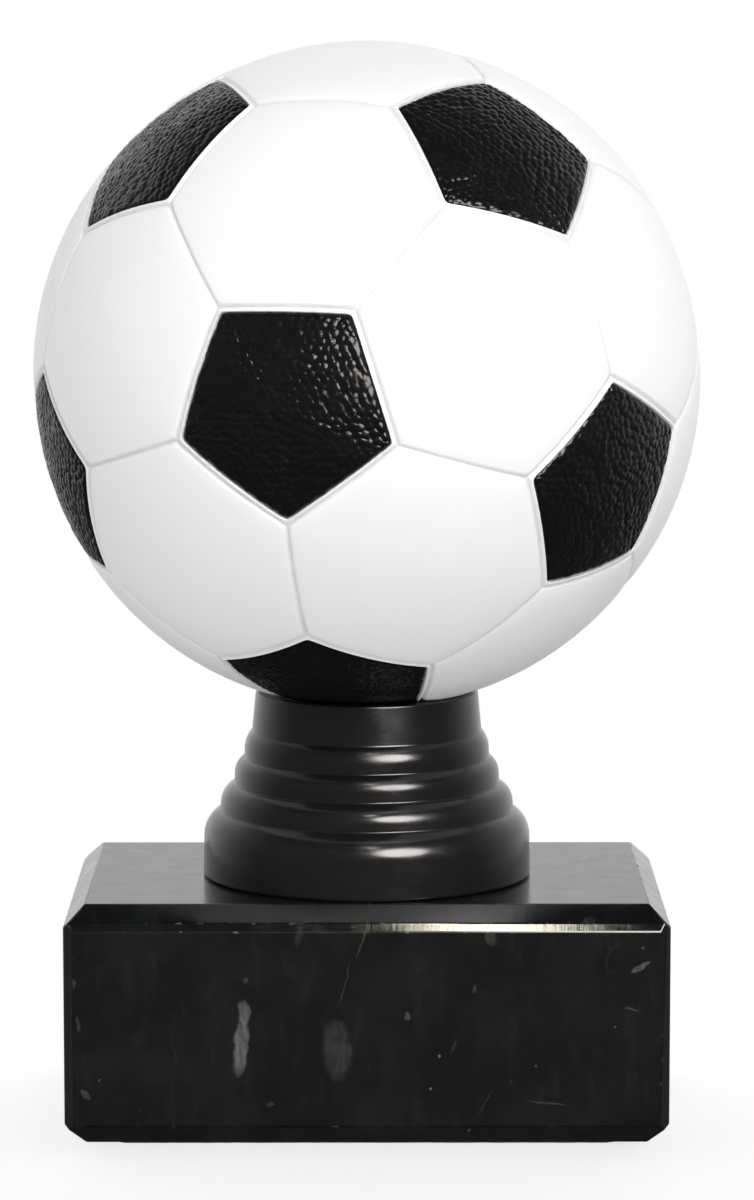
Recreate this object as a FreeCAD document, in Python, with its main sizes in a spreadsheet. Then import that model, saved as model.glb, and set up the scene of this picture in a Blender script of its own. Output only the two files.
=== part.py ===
"""A football trophy: a hollow two-piece ball on a stepped plastic pedestal, bolted through a marble block.

Millimetres, +Z up. The origin is the centre of the resting face, the underside of the felt. Front is -Y.
From the bottom up: felt, marble block with its nut and washers in a recess, pedestal, ball. One threaded
rod runs from the recess to a nut held in the ball and clamps the whole stack.
The ball is a truncated icosahedron blown up to a sphere: 20 white hexagons are part of the two shells,
and 12 black pentagons are separate pieces pegged into pockets. The shells part along the seams nearest to
the ball's equator.
"""

import FreeCAD, Part
import itertools
import math
import os
import re

import Sketcher
from FreeCAD import Placement, Rotation, Vector

SIZES = {
    # felt and marble block
    "felt_thickness": 0.8,
    "felt_margin": 2.5,
    "felt_corner": 2.0,
    "block_width": 71.4,
    "block_depth": 45.0,
    "block_height": 28.7,
    "block_bevel": 2.5,
    "block_corner_bevel": 1.2,
    "block_bore": 4.25,
    "recess_radius": 11.0,
    "recess_depth": 11.0,
    # pedestal: a foot, three rings and a collar, each narrower than the one below. Each wall leans in by
    # its draft and then rounds over, through the last of its height, to the foot of the next
    "foot_radius": 19.85,
    "foot_height": 8.0,
    "foot_draft": 0.1,
    "foot_rise": 3.2,
    "ring_low_radius": 17.75,
    "ring_low_height": 3.2,
    "ring_low_draft": 0.03,
    "ring_low_rise": 2.4,
    "ring_mid_radius": 16.05,
    "ring_mid_height": 3.2,
    "ring_mid_draft": 0.03,
    "ring_mid_rise": 2.0,
    "ring_top_radius": 14.83,
    "ring_top_height": 3.25,
    "ring_top_draft": 0.03,
    "ring_top_rise": 2.2,
    "collar_radius": 13.9,
    "rim_radius": 13.45,
    "rim_drop": 37.9,
    "pedestal_wall": 2.0,
    "pedestal_tube": 5.5,
    "pedestal_bore": 3.3,
    "pedestal_rib": 1.4,
    "seat_gap": 0.1,
    # ball
    "ball_radius": 40.0,
    "ball_height": 90.0,
    "ball_wall": 2.5,
    "seam_depth": 0.5,
    "seam_half_width": 0.45,
    "panel_inset": 0.8,
    "panel_gap": 0.05,
    "panel_thickness": 1.3,
    "panel_round": 0.25,
    "peg_radius": 1.5,
    "peg_clearance": 0.05,
    "panel_azimuth": -14.0,
    "panel_elevation": -0.5,
    "panel_spin": 54.0,
    "lip_thickness": 1.2,
    "lip_gap": 0.1,
    "lip_reach": 13.0,
    "lip_root": 17.0,
    "fitting_bond": 0.5,
    # nut holder inside the ball
    "hub_radius": 8.5,
    "hub_top": 64.0,
    "hub_rib": 1.6,
    "hub_rib_top": 60.0,
    "pocket_depth": 6.0,
    "pocket_clearance": 0.05,
    "cap_thickness": 2.0,
    # M6 hardware
    "rod_radius": 3.0,
    "rod_bottom": 2.2,
    "rod_top": 65.4,
    "rod_chamfer": 0.5,
    "thread_pitch": 1.0,
    "thread_depth": 0.55,
    "nut_flats": 10.0,
    "nut_height": 5.0,
    "nut_bore": 3.05,
    "nut_chamfer": 0.6,
    "washer_radius": 9.0,
    "washer_bore": 3.2,
    "washer_thickness": 1.6,
    "lock_radius": 5.9,
    "lock_bore": 3.1,
    "lock_thickness": 1.6,
    "lock_turn": 350.0,
}
FAR = 1.15  # a panel's tool solid reaches out to this share of the ball's radius
NEAR = 0.85  # and in to this share
PEDESTAL_RIBS = 6
HUB_RIBS = 6

doc = FreeCAD.newDocument("football_trophy")
sheet = doc.addObject("Spreadsheet::Sheet", "Sizes")
for row, (alias, number) in enumerate(SIZES.items(), start=1):
    sheet.set(f"A{row}", alias)
    sheet.set(f"B{row}", str(number))
    sheet.setAlias(f"B{row}", alias)
doc.recompute()


# ---------------------------------------------------------------- helpers


def formula(text):
    """An expression in the sheet's own words, with each alias made a reference to the sheet."""
    return re.sub(r"[a-z_]+", lambda word: ("Sizes." if word[0] in SIZES else "") + word[0], text)


def value(text):
    return float(sheet.evalExpression(formula(text)))


def bind(thing, **expressions):
    """Ties properties of a document object to the sheet. Double underscores stand for dots."""
    for name, text in expressions.items():
        thing.setExpression(name.replace("__", "."), formula(text))
    return thing


def add(kind, label, **expressions):
    """A document object whose sizes follow the sheet."""
    thing = doc.addObject(kind, label)
    thing.Label = label
    return bind(thing, **expressions)


def combine(kind, label, *shapes):
    """A Part boolean: Cut and Common take two objects, MultiFuse any number."""
    thing = doc.addObject(kind, label)
    thing.Label = label
    if kind == "Part::MultiFuse":
        thing.Shapes = list(shapes)
    else:
        thing.Base, thing.Tool = shapes
    doc.recompute()
    return thing


def fixed_shape(label, shape):
    """A Part::Feature for a shape that neither a sketch nor a primitive can make."""
    thing = doc.addObject("Part::Feature", label)
    thing.Label = label
    thing.Shape = shape
    return thing


def new_body(label):
    body = doc.addObject("PartDesign::Body", label)
    body.Label = label
    return body


def sketch_on(body, name, role, lift="0"):
    """A sketch on one of the body's origin planes, lifted along the plane's normal."""
    sketch = body.newObject("Sketcher::SketchObject", name)
    plane = next(f for f in body.Origin.OriginFeatures if f.Role == role)
    sketch.AttachmentSupport = [(plane, "")]
    sketch.MapMode = "FlatFace"
    bind(sketch, AttachmentOffset__Base__z=lift)
    return sketch


def outline(sketch, corners):
    """A closed outline through corners, pairs of expressions, each tied to the sheet. A third expression is
    the radius of an arc to that corner from the one before, which it leaves straight up."""
    places = [Vector(value(corner[0]), value(corner[1]), 0) for corner in corners]
    edges = []
    for start, end, corner in zip(places[-1:] + places[:-1], places, corners):
        shape = Part.LineSegment(start, end)
        if len(corner) > 2:
            radius = value(corner[2])
            circle = Part.Circle(start - Vector(radius, 0, 0), Vector(0, 0, 1), radius)
            shape = Part.ArcOfCircle(circle, 0, math.asin((end.y - start.y) / radius))
        edges.append(sketch.addGeometry(shape, False))
    for edge, after in zip(edges, edges[1:] + edges[:1]):
        sketch.addConstraint(Sketcher.Constraint("Coincident", edge, 2, after, 1))
    for edge, place, corner in zip(edges, places, corners):
        for axis, number, text in (("X", place.x, corner[0]), ("Y", place.y, corner[1])):
            pin = Sketcher.Constraint("Distance" + axis, -1, 1, edge, 2, number)
            sketch.setExpression(f"Constraints[{sketch.addConstraint(pin)}]", formula(text))
        if len(corner) > 2:
            size = Sketcher.Constraint("Radius", edge, value(corner[2]))
            sketch.setExpression(f"Constraints[{sketch.addConstraint(size)}]", formula(corner[2]))


def ring_outline(sketch, *radii):
    """Circles about the sketch's origin."""
    for text in radii:
        circle = sketch.addGeometry(Part.Circle(Vector(), Vector(0, 0, 1), value(text)), False)
        sketch.addConstraint(Sketcher.Constraint("Coincident", circle, 3, -1, 1))
        size = Sketcher.Constraint("Radius", circle, value(text))
        sketch.setExpression(f"Constraints[{sketch.addConstraint(size)}]", formula(text))


def turn(body, sketch, kind="PartDesign::Revolution", angle="360"):
    """Turns a sketch in the XZ plane about Z, to add material or, as a Groove, to remove it."""
    feature = body.newObject(kind, kind.split("::")[1])
    feature.Profile = sketch
    feature.ReferenceAxis = (sketch, ["V_Axis"])
    bind(feature, Angle=angle)
    doc.recompute()
    return feature


def pad(body, sketch, length):
    feature = body.newObject("PartDesign::Pad", "Pad")
    feature.Profile = sketch
    bind(feature, Length=length)
    doc.recompute()
    return feature


def dress(body, kind, size, chosen):
    """A Fillet or Chamfer on the edges of the body's tip that chosen picks."""
    tip = body.Tip
    names = [f"Edge{n}" for n, edge in enumerate(tip.Shape.Edges, start=1) if chosen(edge)]
    feature = body.newObject(kind, kind.split("::")[1])
    feature.Base = (tip, names)
    bind(feature, **{"Radius" if kind.endswith("Fillet") else "Size": size})
    doc.recompute()
    return feature


def around(body, feature, count):
    """Repeats a feature around Z."""
    pattern = body.newObject("PartDesign::PolarPattern", "PolarPattern")
    pattern.Originals = [feature]
    axis = next(f for f in body.Origin.OriginFeatures if f.Role == "Z_Axis")
    pattern.Axis = (axis, [""])
    pattern.Angle = 360
    pattern.Occurrences = count
    body.Tip = pattern
    doc.recompute()
    return pattern


def is_upright(edge):
    return abs(edge.tangentAt(edge.FirstParameter).z) > 0.99


def is_level(edge):
    return abs(edge.tangentAt(edge.FirstParameter).z) < 0.01


# ---------------------------------------------------------------- felt and marble block

BLOCK_BOTTOM = "felt_thickness"
BLOCK_TOP = "felt_thickness + block_height"
RECESS_TOP = "felt_thickness + recess_depth"


def rectangle(width, depth):
    half_width, half_depth = f"({width}) / 2", f"({depth}) / 2"
    signs = ((-1, -1), (1, -1), (1, 1), (-1, 1))
    return [(f"{sx} * {half_width}", f"{sy} * {half_depth}") for sx, sy in signs]


def make_felt_pad():
    """Stuck to the flat of the block's underside, over the nut's recess."""
    body = new_body("felt_pad")
    sketch = sketch_on(body, "felt_outline", "XY_Plane")
    inset = "2 * (block_bevel + felt_margin)"
    outline(sketch, rectangle(f"block_width - {inset}", f"block_depth - {inset}"))
    pad(body, sketch, "felt_thickness")
    dress(body, "PartDesign::Fillet", "felt_corner", is_upright)
    return body


def make_marble_block():
    """Bevelled on all edges, bored for the rod and recessed from below for the nut and washers."""
    body = new_body("marble_block")
    sketch = sketch_on(body, "block_outline", "XY_Plane", BLOCK_BOTTOM)
    outline(sketch, rectangle("block_width", "block_depth"))
    pad(body, sketch, "block_height")
    dress(body, "PartDesign::Chamfer", "block_bevel", is_level)
    dress(body, "PartDesign::Chamfer", "block_corner_bevel", is_upright)
    hole = sketch_on(body, "bore_outline", "XZ_Plane")
    below, above = f"{BLOCK_BOTTOM} - 1", f"{BLOCK_TOP} + 1"
    stepped = [
        ("0", below),
        ("recess_radius", below),
        ("recess_radius", RECESS_TOP),
        ("block_bore", RECESS_TOP),
        ("block_bore", above),
        ("0", above),
    ]
    outline(hole, stepped)
    turn(body, hole, "PartDesign::Groove")
    return body


# ---------------------------------------------------------------- pedestal

TIERS = ("foot", "ring_low", "ring_mid", "ring_top")
RIM_TOP = "ball_height - rim_drop"


def tier_top(tier):
    """Height of the top of one of the pedestal's tiers."""
    steps = TIERS[: TIERS.index(tier) + 1]
    return " + ".join([BLOCK_TOP] + [f"{name}_height" for name in steps])


def tier_corners(tier, above):
    """Up a tier's wall, then over its rounded shoulder to the foot of the tier above."""
    wall, top, rise = f"{tier}_radius - {tier}_draft", tier_top(tier), f"{tier}_rise"
    run = f"({wall} - {above}_radius)"
    shoulder = f"({run} * {run} + {rise} * {rise}) / (2 * {run})"
    return [(wall, f"{top} - {rise}"), (f"{above}_radius", top, shoulder)]


def cavity_corners():
    """The inside of the moulding, from its wall at the ceiling down to the foot."""
    ceiling = f"{tier_top('ring_top')} - pedestal_wall / 2"
    return [
        ("collar_radius - pedestal_wall", ceiling),
        ("ring_low_radius - pedestal_wall", tier_top("foot")),
        ("foot_radius - pedestal_wall", f"{tier_top('foot')} - foot_rise"),
        ("foot_radius - pedestal_wall", BLOCK_TOP),
    ]


def make_pedestal():
    """A moulded shell open below, with a tube for the rod, ribs, and a hollow top that cups the ball."""
    body = new_body("pedestal_shell")
    section = sketch_on(body, "pedestal_section", "XZ_Plane")
    outside = [("foot_radius", BLOCK_TOP)]
    for tier, above in zip(TIERS, TIERS[1:] + ("collar",)):
        outside += tier_corners(tier, above)
    middle = [
        ("rim_radius", RIM_TOP),
        ("pedestal_bore", RIM_TOP),
        ("pedestal_bore", BLOCK_TOP),
        ("pedestal_tube", BLOCK_TOP),
        ("pedestal_tube", cavity_corners()[0][1]),
    ]
    outline(section, outside + middle + cavity_corners())
    turn(body, section)
    rib = sketch_on(body, "rib_outline", "XZ_Plane", "-pedestal_rib / 2")
    root = "pedestal_tube - pedestal_wall / 4"
    reach = [(f"{x} + pedestal_wall / 4", z) for x, z in cavity_corners()]
    outline(rib, [(root, BLOCK_TOP), (root, reach[0][1])] + reach)
    around(body, pad(body, rib, "pedestal_rib"), PEDESTAL_RIBS)
    seat = add("Part::Sphere", "seat_tool", Radius="ball_radius + seat_gap")
    bind(seat, Placement__Base__z="ball_height")
    return combine("Part::Cut", "pedestal", body, seat)


# ---------------------------------------------------------------- the ball's panels


def ball_turn():
    """Carries the pole of an upright ball to its front pentagon."""
    spin = Rotation(Vector(0, 0, 1), value("panel_spin"))
    raise_up = Rotation(Vector(1, 0, 0), 90 - value("panel_elevation"))
    swing = Rotation(Vector(0, 0, 1), value("panel_azimuth"))
    return swing * raise_up * spin


def pentagon_centres():
    """Directions of the 12 pentagons: an icosahedron's corners, one at each pole and two rings of five."""
    latitude = math.atan(0.5)
    level, rise = math.cos(latitude), math.sin(latitude)
    found = [Vector(0, 0, 1), Vector(0, 0, -1)]
    for step in range(5):
        for offset, height in ((0, rise), (36, -rise)):
            angle = math.radians(72 * step + offset)
            found.append(Vector(level * math.cos(angle), level * math.sin(angle), height))
    turned = [ball_turn().multVec(centre) for centre in found]
    return sorted(turned, key=lambda centre: -centre.z)


def neighbours(a, b):
    return 0.3 < a.dot(b) < 0.9


def in_order(points, centre):
    """Points sorted anticlockwise about a direction, seen from outside."""
    across = (points[0] - centre * points[0].dot(centre)).normalize()
    up = centre.cross(across)
    return sorted(points, key=lambda p: math.atan2(p.dot(up), p.dot(across)))


def ball_panels():
    """(pentagons, hexagons), each a list of (centre, corners) of unit vectors. A seam's corner lies a third
    of the way from one pentagon's centre to the next."""
    centres = pentagon_centres()
    pentagons = []
    for centre in centres:
        near = [c for c in centres if neighbours(centre, c)]
        corners = [(centre * 2 + c).normalize() for c in near]
        pentagons.append((centre, in_order(corners, centre)))
    hexagons = []
    for trio in itertools.combinations(centres, 3):
        if all(neighbours(a, b) for a, b in itertools.combinations(trio, 2)):
            corners = [(a * 2 + b).normalize() for a, b in itertools.permutations(trio, 2)]
            centre = (trio[0] + trio[1] + trio[2]).normalize()
            hexagons.append((centre, in_order(corners, centre)))
    return pentagons, hexagons


def solid_of(faces):
    solid = Part.Solid(Part.Shell([Part.Face(Part.makePolygon(f + f[:1])) for f in faces]))
    if solid.Volume < 0:
        solid.reverse()
    return solid


def meeting_point(normals, distances):
    """Where three planes meet."""
    a, b, c = normals
    determinant = a.dot(b.cross(c))
    total = b.cross(c) * distances[0] + c.cross(a) * distances[1] + a.cross(b) * distances[2]
    return total * (1 / determinant)


def panel_tool(panel, inset):
    """A block that covers a panel through the shell's thickness, its sides moved in from the seams."""
    centre, corners = panel
    walls = [a.cross(b).normalize() for a, b in zip(corners, corners[1:] + corners[:1])]
    levels = [value("ball_radius") * share for share in (NEAR, FAR)]
    near, far = [
        [
            meeting_point((before, wall, centre), (inset, inset, level))
            for before, wall in zip(walls[-1:] + walls[:-1], walls)
        ]
        for level in levels
    ]
    sides = [
        [near[n], near[(n + 1) % len(near)], far[(n + 1) % len(far)], far[n]]
        for n in range(len(near))
    ]
    solid = solid_of([near[::-1], far] + sides)
    solid.translate(Vector(0, 0, value("ball_height")))
    return solid


def key(corner):
    """The same for a corner that two panels share, however it was worked out."""
    return (round(corner.x, 6), round(corner.y, 6), round(corner.z, 6))


def upper_half_tool(panels):
    """A wedge from the ball's centre over every panel whose centre is above it. Its rim is the joint line."""
    centre = Vector(0, 0, value("ball_height"))
    reach = value("ball_radius") * FAR
    upper = [corners for middle, corners in panels if middle.z > 0]
    edges = {(key(a), key(b)) for corners in upper for a, b in zip(corners, corners[1:] + corners[:1])}
    caps, walls = [], []
    for corners in upper:
        points = [centre + corner * reach for corner in corners]
        caps.append(points)
        for a, b, p, q in zip(corners, corners[1:] + corners[:1], points, points[1:] + points[:1]):
            if (key(b), key(a)) not in edges:
                walls.append([centre, q, p])
    return solid_of(caps + walls)


# ---------------------------------------------------------------- the ball

CENTRE = {"Placement__Base__z": "ball_height"}


def ball_sphere(label, radius):
    return add("Part::Sphere", label, Radius=radius, **CENTRE)


def along(direction, radius):
    """A placement whose Z runs out along a direction, at that distance from the ball's centre."""
    base = Vector(0, 0, value("ball_height")) + direction * radius
    return Placement(base, Rotation(Vector(0, 0, 1), direction))


def panel_peg(label, direction, radius):
    """A peg or its hole, from inside the shell's wall to the pocket's floor. It runs out along direction."""
    peg = add("Part::Cylinder", label, Radius=radius)
    bind(peg, Height="ball_wall - panel_thickness")
    peg.Placement = along(direction, value("ball_radius - ball_wall"))
    return peg


def panel_tools(label, panels, inset):
    """The tool solids of several panels, each moved in from its seams, in one object."""
    return fixed_shape(label, Part.makeCompound([panel_tool(panel, value(inset)) for panel in panels]))


def peg_holes(label, pentagons):
    """Holes for the panels' pegs, from each pocket's floor through to the inside."""
    holes = []
    for n, (centre, _) in enumerate(pentagons, start=1):
        hole = add("Part::Cylinder", f"{label}_{n}", Radius="peg_radius + peg_clearance")
        bind(hole, Height="ball_wall")
        hole.Placement = along(centre, value("ball_radius - ball_wall - panel_thickness / 2"))
        holes.append(hole)
    return combine("Part::MultiFuse", label, *holes)


def finish_shell(label, core, skin, pocket_floor, pentagons, hexagons):
    """Raises a shell's hexagons above the seams, and sinks its pentagons' pockets and peg holes."""
    cells = panel_tools(f"{label}_hexagon_tools", hexagons, "seam_half_width")
    raised = combine("Part::Common", f"{label}_hexagons", cells, skin)
    shell = combine("Part::MultiFuse", f"{label}_raised", core, raised)
    cells = panel_tools(f"{label}_pocket_tools", pentagons, "panel_inset")
    pockets = combine("Part::Cut", f"{label}_pockets", cells, pocket_floor)
    shell = combine("Part::Cut", f"{label}_pocketed", shell, pockets)
    return combine("Part::Cut", label, shell, peg_holes(f"{label}_peg_holes", pentagons))


def spherical_band(label, radius, low, high):
    """A slice of a ball between two heights above the ball's centre."""
    band = ball_sphere(label, radius)
    bind(band, Angle1=f"asin(({low}) / ({radius}))", Angle2=f"asin(({high}) / ({radius}))")
    return band


def make_lip():
    """The ring inside the lower shell that the upper shell slips over. Its root is joined to the wall."""
    inner = "ball_radius - ball_wall - lip_gap - lip_thickness"
    band = spherical_band("lip_band", "ball_radius - ball_wall - lip_gap", "-lip_root", "lip_reach")
    root = spherical_band("lip_root", "ball_radius - ball_wall + lip_gap", "-lip_root", "-lip_reach")
    outside = combine("Part::MultiFuse", "lip_outside", band, root)
    return combine("Part::Cut", "lip", outside, ball_sphere("lip_inside", inner))


def make_hub():
    """The post in the bottom of the ball, with ribs out to the wall. Both end inside the wall's thickness."""
    bottom = "ball_height - ball_radius"
    post = add("Part::Cylinder", "hub_post", Radius="hub_radius", Height=f"hub_top - ({bottom})")
    bind(post, Placement__Base__z=bottom)
    ribs = []
    for n in range(HUB_RIBS):
        rib = add("Part::Box", f"hub_rib_{n + 1}", Length="ball_radius", Width="hub_rib")
        bind(rib, Height=f"hub_rib_top - ({bottom})")
        swing = Rotation(Vector(0, 0, 1), 360 * n / HUB_RIBS)
        base = swing.multVec(Vector(0, -value("hub_rib") / 2, 0)) + Vector(0, 0, value(bottom))
        rib.Placement = Placement(base, swing)
        ribs.append(rib)
    block = combine("Part::MultiFuse", "hub_block", post, *ribs)
    limit = ball_sphere("hub_limit", "ball_radius - ball_wall + fitting_bond")
    return combine("Part::Common", "hub", block, limit)


def hexagon_corners(flats):
    """Corners of a hexagon about the origin, flats apart across its flats."""
    reach = f"({flats}) / 2 / cos(30)"
    return [(f"{reach} * cos({60 * n})", f"{reach} * sin({60 * n})") for n in range(6)]


POCKET_BOTTOM = "hub_top - pocket_depth"


def make_rod_way():
    """What is cut out of the hub: the nut's six-sided pocket from above, and the rod's hole below it."""
    body = new_body("rod_way")
    pocket = sketch_on(body, "pocket_outline", "XY_Plane", POCKET_BOTTOM)
    outline(pocket, hexagon_corners("nut_flats + 2 * pocket_clearance"))
    pad(body, pocket, "pocket_depth + 1")
    below = "ball_height - ball_radius - 1"
    hole = sketch_on(body, "hole_outline", "XY_Plane", below)
    ring_outline(hole, "pedestal_bore")
    pad(body, hole, f"{POCKET_BOTTOM} + 1 - ({below})")
    return body


def make_shells(pentagons, hexagons):
    """The upper and the lower shell. Fittings inside the lower one are joined before it gets its surface."""
    hollow = ball_sphere("hollow", "ball_radius - ball_wall")
    core = combine("Part::Cut", "core", ball_sphere("seam_floor", "ball_radius - seam_depth"), hollow)
    skin_floor = ball_sphere("skin_floor", "ball_radius - ball_wall / 2")
    skin = combine("Part::Cut", "skin", ball_sphere("ball_surface", "ball_radius"), skin_floor)
    pocket_floor = ball_sphere("pocket_floor", "ball_radius - panel_thickness")
    upper_tool = fixed_shape("upper_half_tool", upper_half_tool(pentagons + hexagons))
    upper_core = combine("Part::Common", "upper_core", core, upper_tool)
    lower_core = combine("Part::Cut", "lower_core", core, upper_tool)
    lower_core = combine("Part::MultiFuse", "lower_fitted_core", lower_core, make_lip(), make_hub())
    above = [[panel for panel in panels if panel[0].z > 0] for panels in (pentagons, hexagons)]
    below = [[panel for panel in panels if panel[0].z < 0] for panels in (pentagons, hexagons)]
    upper = finish_shell("ball_upper_shell", upper_core, skin, pocket_floor, *above)
    lower = finish_shell("lower_shell_unbored", lower_core, skin, pocket_floor, *below)
    return [upper, combine("Part::Cut", "ball_lower_shell", lower, make_rod_way())]


def make_black_panels(pentagons):
    """Twelve pentagons, numbered from the top of the ball down, each with a peg behind it."""
    outside = ball_sphere("panel_outside", "ball_radius")
    inside = ball_sphere("panel_inside", "ball_radius - panel_thickness")
    layer = combine("Part::Cut", "panel_layer", outside, inside)
    inset = value("panel_inset + panel_gap")
    found = []
    for n, panel in enumerate(pentagons, start=1):
        block = fixed_shape(f"panel_block_{n:02d}", panel_tool(panel, inset))
        plate = combine("Part::Common", f"panel_plate_{n:02d}", block, layer)
        rounded = add("Part::Fillet", f"panel_rounded_{n:02d}")
        rounded.Base = plate
        radius = value("panel_round")
        rounded.Edges = [(m, radius, radius) for m in rim_edges(plate.Shape)]
        doc.recompute()
        peg = panel_peg(f"panel_peg_{n:02d}", panel[0], "peg_radius")
        found.append(combine("Part::MultiFuse", f"black_panel_{n:02d}", rounded, peg))
    return found


def rim_edges(shape):
    """Numbers of the edges round a panel's outer face: arcs whose middle lies on the ball's surface."""
    centre = Vector(0, 0, value("ball_height"))
    found = []
    for n, edge in enumerate(shape.Edges, start=1):
        span = [edge.valueAt(edge.FirstParameter), edge.valueAt(edge.LastParameter)]
        if all(abs((p - centre).Length - value("ball_radius")) < 1e-4 for p in span):
            found.append(n)
    return found


# ---------------------------------------------------------------- rod, nuts and washers


def make_threaded_rod():
    """An M6 rod. Its thread is drawn as parallel grooves at the thread's pitch."""
    radius, root = value("rod_radius"), value("rod_radius - thread_depth")
    bottom, top, chamfer = value("rod_bottom"), value("rod_top"), value("rod_chamfer")
    pitch = value("thread_pitch")
    points = [Vector(0, 0, bottom), Vector(radius - chamfer, 0, bottom), Vector(radius, 0, bottom + chamfer)]
    height = bottom + chamfer
    while height + pitch <= top - chamfer:
        points.append(Vector(root, 0, height + pitch / 2))
        points.append(Vector(radius, 0, height + pitch))
        height += pitch
    points += [Vector(radius, 0, top - chamfer), Vector(radius - chamfer, 0, top), Vector(0, 0, top)]
    points = [p for n, p in enumerate(points) if n == 0 or (p - points[n - 1]).Length > 1e-6]
    face = Part.Face(Part.makePolygon(points + points[:1]))
    return fixed_shape("threaded_rod", face.revolve(Vector(), Vector(0, 0, 1), 360))


def make_nut(label, bottom):
    """An M6 nut with its corners turned down at both faces."""
    body = new_body(label)
    sketch = sketch_on(body, "nut_outline", "XY_Plane", bottom)
    outline(sketch, hexagon_corners("nut_flats"))
    ring_outline(sketch, "nut_bore")
    pad(body, sketch, "nut_height")
    reach = "nut_flats / 2 / cos(30)"
    top = f"{bottom} + nut_height"
    for name, face, slope in (("low", bottom, "+"), ("high", top, "-")):
        corner = sketch_on(body, f"{name}_corner", "XZ_Plane")
        inner = (f"{reach} - nut_chamfer", face)
        outer = (f"{reach} + nut_chamfer", face)
        tip = (f"{reach} + nut_chamfer", f"{face} {slope} nut_chamfer")
        outline(corner, [inner, outer, tip])
        turn(body, corner, "PartDesign::Groove")
    return body


def make_ring(label, outer, inner, thickness, bottom, angle="360"):
    """A washer, or with less than a full turn a split one."""
    body = new_body(label)
    section = sketch_on(body, f"{label}_section", "XZ_Plane")
    top = f"{bottom} + {thickness}"
    outline(section, [(inner, bottom), (outer, bottom), (outer, top), (inner, top)])
    turn(body, section, angle=angle)
    return body


def make_nut_cap():
    """Closes the pocket over the upper nut. The rod's end stands in its hole."""
    body = new_body("nut_cap")
    section = sketch_on(body, "cap_section", "XZ_Plane")
    spigot_end = f"{POCKET_BOTTOM} + nut_height + pocket_clearance"
    corners = [
        ("pedestal_bore", spigot_end),
        ("nut_flats / 2 - pocket_clearance", spigot_end),
        ("nut_flats / 2 - pocket_clearance", "hub_top"),
        ("hub_radius", "hub_top"),
        ("hub_radius", "hub_top + cap_thickness"),
        ("pedestal_bore", "hub_top + cap_thickness"),
    ]
    outline(section, corners)
    turn(body, section)
    return body


def make_hardware():
    washer_bottom = f"{RECESS_TOP} - washer_thickness"
    lock_bottom = f"{washer_bottom} - lock_thickness"
    base_nut_bottom = f"{lock_bottom} - nut_height"
    return [
        make_threaded_rod(),
        make_ring("flat_washer", "washer_radius", "washer_bore", "washer_thickness", washer_bottom),
        make_ring("lock_washer", "lock_radius", "lock_bore", "lock_thickness", lock_bottom, "lock_turn"),
        make_nut("base_nut", base_nut_bottom),
        make_nut("ball_nut", POCKET_BOTTOM),
        make_nut_cap(),
    ]


# ---------------------------------------------------------------- build, check and write


def check(nodes):
    failed = [thing.Label for thing in doc.Objects if {"Invalid", "Error"} & set(thing.State)]
    for node in nodes:
        shape = node.Shape
        if shape.isNull() or not shape.isValid() or not shape.Solids:
            failed.append(node.Label)
        else:
            print(f"{node.Label}: {len(shape.Solids)} solid(s), {shape.Volume:.1f} mm3")
    if failed:
        raise RuntimeError("not built: " + ", ".join(failed))


def main():
    pentagons, hexagons = ball_panels()
    nodes = [make_felt_pad(), make_marble_block(), make_pedestal()]
    nodes += make_hardware()
    nodes += make_shells(pentagons, hexagons)
    nodes += make_black_panels(pentagons)
    doc.recompute()
    check(nodes)
    os.makedirs("parts", exist_ok=True)
    for node in nodes:
        node.Shape.exportStep(f"parts/{node.Label}.step")


main()
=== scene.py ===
"""Looks for the football trophy: a ball with grained black pentagons, a stepped pedestal, a marble block.

Metres, +Z up, front -Y, in the CAD frame. Small sizes are written in millimetres times MM.
"""

import functools
import itertools
import math

import bmesh
import bpy
import numpy as np
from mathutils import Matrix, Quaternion, Vector, noise


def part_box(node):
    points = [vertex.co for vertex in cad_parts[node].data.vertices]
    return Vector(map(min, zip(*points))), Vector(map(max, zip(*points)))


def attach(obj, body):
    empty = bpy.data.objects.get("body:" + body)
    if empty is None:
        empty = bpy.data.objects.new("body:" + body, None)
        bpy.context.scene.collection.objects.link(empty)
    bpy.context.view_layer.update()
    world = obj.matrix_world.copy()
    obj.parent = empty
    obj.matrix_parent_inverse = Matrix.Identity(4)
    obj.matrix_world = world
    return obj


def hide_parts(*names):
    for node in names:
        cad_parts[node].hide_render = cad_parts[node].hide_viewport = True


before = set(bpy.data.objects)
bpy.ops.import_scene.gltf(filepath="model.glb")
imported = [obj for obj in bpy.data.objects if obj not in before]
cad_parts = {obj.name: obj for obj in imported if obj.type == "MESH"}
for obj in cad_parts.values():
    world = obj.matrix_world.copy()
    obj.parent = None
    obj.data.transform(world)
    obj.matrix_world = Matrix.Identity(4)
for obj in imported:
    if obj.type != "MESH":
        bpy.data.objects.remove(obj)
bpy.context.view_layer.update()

MM = 0.001

# ball
BALL_RADIUS = 40 * MM
BALL_CENTRE = Vector((0, 0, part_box("ball_upper_shell")[1].z - BALL_RADIUS))
SHELL_INSIDE = 37.5 * MM
PANEL_AZIMUTH, PANEL_ELEVATION, PANEL_SPIN = -14.0, -0.5, 54.0
CORNER_SOFTNESS = 0.2 * MM
SEAM_FLOOR = 39.5 * MM
SEAM_EDGE = 39.73 * MM
SEAM_HALF_WIDTH = 0.48 * MM
SHOULDER = 0.15 * MM
SHOULDER_END = 1.9 * MM
CROWN = 0.12 * MM
POCKET_INSET = 0.56 * MM
POCKET_FLOOR = 38.66 * MM
LIP_WIDTH = 0.04 * MM
LIP_DROP = 0.05 * MM
BLACK_INSET = 0.62 * MM
BLACK_WOBBLE = 0.2 * MM
BLACK_BOTTOM = 38.7 * MM
BLACK_RIM = 39.3 * MM
BLACK_TOP = 39.73 * MM
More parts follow.
